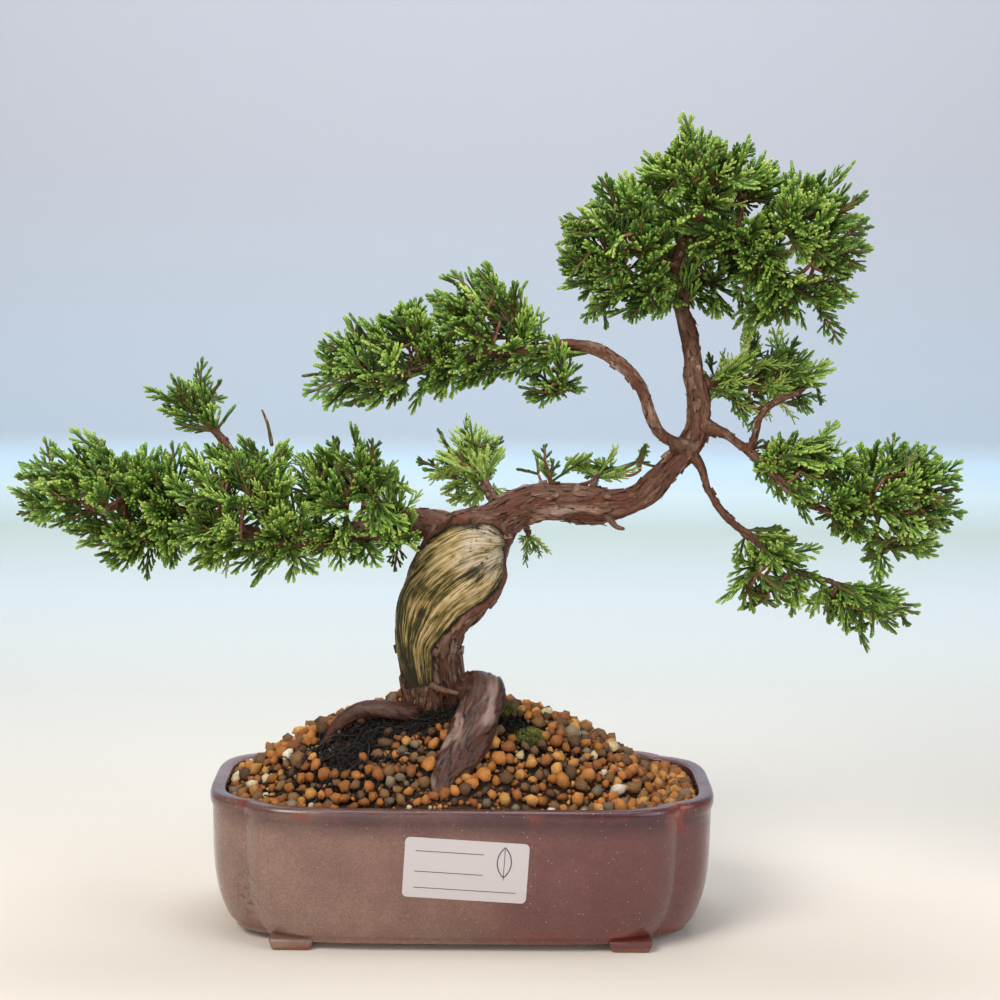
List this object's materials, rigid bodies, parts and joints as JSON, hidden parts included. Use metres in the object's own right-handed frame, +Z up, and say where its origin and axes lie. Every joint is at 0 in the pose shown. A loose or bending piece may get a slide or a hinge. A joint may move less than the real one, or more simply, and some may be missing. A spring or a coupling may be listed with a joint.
{
  "type": "potted bonsai juniper",
  "caption": "Small trained juniper with a leaning, twisted trunk, bare-wood bulge and separate foliage masses, standing in a low four-lobed glazed pot of clay granules.",
  "frame": {"origin": "bottom centre of the whole object's bounding box, on the surface that the pot's four feet stand on; the pot's own middle lies at x = -8 mm, y = -9 mm", "axes": "+Z up, +X to the right seen from the tree's front, the front (the side with the label) faces -Y"},
  "size_m": [0.3088, 0.1101, 0.2684],
  "materials": {
    "glaze": "gloss",
    "bark": "matte",
    "root_bark": "matte",
    "foliage": "matte",
    "granules": "matte",
    "peat": "matte",
    "moss": "matte",
    "plastic_mesh": "satin",
    "wire": "satin",
    "label_paper": "satin"
  },
  "bodies": {
    "root": {"anchor_wire": "wire", "drain_mesh_left": "plastic_mesh", "drain_mesh_right": "plastic_mesh", "foliage_apex_back": "foliage", "foliage_apex_left": "foliage", "foliage_apex_right": "foliage", "foliage_apex_top": "foliage", "foliage_back": "foliage", "foliage_back_right": "foliage", "foliage_below": "foliage", "foliage_left_inner": "foliage", "foliage_left_middle": "foliage", "foliage_left_outer": "foliage", "foliage_left_top": "foliage", "foliage_low_inner": "foliage", "foliage_low_outer": "foliage", "foliage_middle_droop": "foliage", "foliage_middle_inner": "foliage", "foliage_middle_outer": "foliage", "foliage_right_back": "foliage", "foliage_right_inner": "foliage", "foliage_right_outer": "foliage", "label": "label_paper", "limb_apex_left": "bark", "limb_apex_right": "bark", "limb_back": "bark", "limb_back_right": "bark", "limb_left": "bark", "limb_left_rise": "bark", "limb_middle": "bark", "limb_right": "bark", "limb_right_back": "bark", "limb_right_fork": "bark", "limb_right_low": "bark", "mesh_clip_left": "wire", "mesh_clip_right": "wire", "moss_back": "moss", "moss_front": "moss", "moss_trunk": "moss", "pot": "glaze", "root_back": "root_bark", "root_ball": "peat", "root_front": "root_bark", "root_left": "root_bark", "root_left_fan": "root_bark", "root_left_low": "root_bark", "root_right": "root_bark", "root_right_thin": "root_bark", "soil_bed": "granules", "sprout_below": "bark", "trunk": "bark"}
  },
  "joints": []
}
